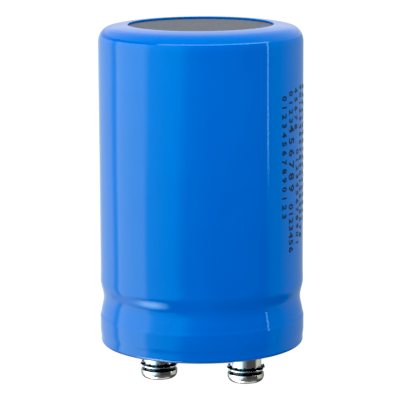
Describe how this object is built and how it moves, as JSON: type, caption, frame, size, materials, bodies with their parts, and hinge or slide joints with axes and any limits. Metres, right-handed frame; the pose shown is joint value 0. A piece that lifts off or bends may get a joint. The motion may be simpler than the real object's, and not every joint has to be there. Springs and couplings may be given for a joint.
{
  "type": "electrolytic capacitor",
  "caption": "Screw-terminal aluminium electrolytic capacitor: a blue-sleeved can with a pressed bead, standing on its terminal screws.",
  "frame": {"origin": "on the can's axis, in the plane of the two screw heads' faces that the part stands on", "axes": "+Z along the can's axis towards its closed end; +X from the can's axis to the right terminal; the vent plug lies towards +Y"},
  "size_m": [0.0514, 0.0514, 0.0913],
  "materials": {
    "sleeve_pvc": "glossy blue heat-shrunk sleeve",
    "end_disc_fibre": "matt grey insulating disc",
    "can_aluminium": "drawn, satin",
    "gasket_rubber": "matt black",
    "header_phenolic": "moulded, dark, semi-gloss",
    "vent_rubber": "matt dark grey",
    "post_aluminium": "turned, bright",
    "screw_plated": "bright nickel plate",
    "washer_plated": "bright plate on stamped steel",
    "rivet_aluminium": "stamped, satin",
    "tab_aluminium": "rolled strip",
    "insulating_card": "matt pressed fibre",
    "winding_paper": "edges of paper and foil turns",
    "wrap_tape": "smooth tape"
  },
  "bodies": {
    "root": {"sleeve": "sleeve_pvc", "end_disc": "end_disc_fibre", "can": "can_aluminium", "gasket": "gasket_rubber", "header": "header_phenolic", "vent_plug": "vent_rubber", "terminal_post_left": "post_aluminium", "terminal_post_right": "post_aluminium", "screw_left": "screw_plated", "screw_right": "screw_plated", "lock_washer_left": "washer_plated", "lock_washer_right": "washer_plated", "flat_washer_left": "washer_plated", "flat_washer_right": "washer_plated", "star_washer_left": "washer_plated", "star_washer_right": "washer_plated", "rivet_washer_left": "rivet_aluminium", "rivet_washer_right": "rivet_aluminium", "tab_left": "tab_aluminium", "tab_right": "tab_aluminium", "tab_disc": "insulating_card", "winding": "winding_paper", "winding_wrap": "wrap_tape", "base_disc": "insulating_card"}
  },
  "joints": []
}
